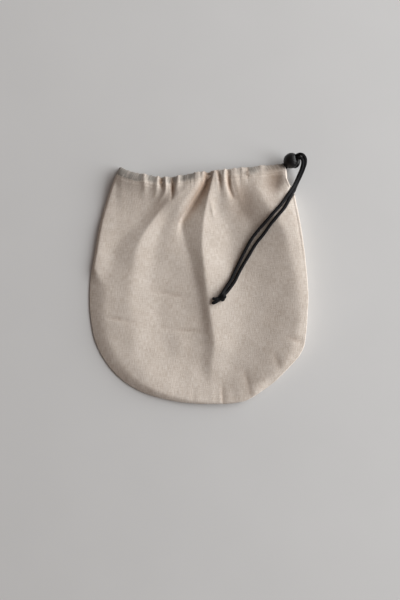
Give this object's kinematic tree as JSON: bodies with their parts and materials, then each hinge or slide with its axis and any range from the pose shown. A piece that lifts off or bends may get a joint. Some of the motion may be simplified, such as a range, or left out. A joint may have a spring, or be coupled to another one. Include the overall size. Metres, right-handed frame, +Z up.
{
  "type": "drawstring straining bag",
  "caption": "Cotton drawstring straining bag lying empty, its mouth gathered on a black cord held by a sprung ball lock and tied in a knot.",
  "frame": {"origin": "on the surface under the middle of the bag's outline", "axes": "+Z up, +Y towards the mouth, +X towards the lock"},
  "size_m": [0.2539, 0.2914, 0.0258],
  "materials": {
    "cotton": "unbleached plain weave, matt",
    "cord": "black braid, slight sheen",
    "lock_plastic": "moulded black, satin"
  },
  "bodies": {
    "bag": {"front_panel": "cotton", "rear_panel": "cotton", "hem_cord": "cord", "upper_strand": "cord", "lower_strand": "cord", "cord_knot": "cord", "lock_body": "lock_plastic"},
    "plunger": {"lock_plunger": "lock_plastic"}
  },
  "joints": [
    {"name": "lock_press", "type": "slide", "parent": "bag", "child": "plunger", "axis": [0.7851, -0.1669, -0.5965], "range_m": [-0.003, 0], "stiffness_N_per_m": 400, "springref_m": 0.004}
  ]
}
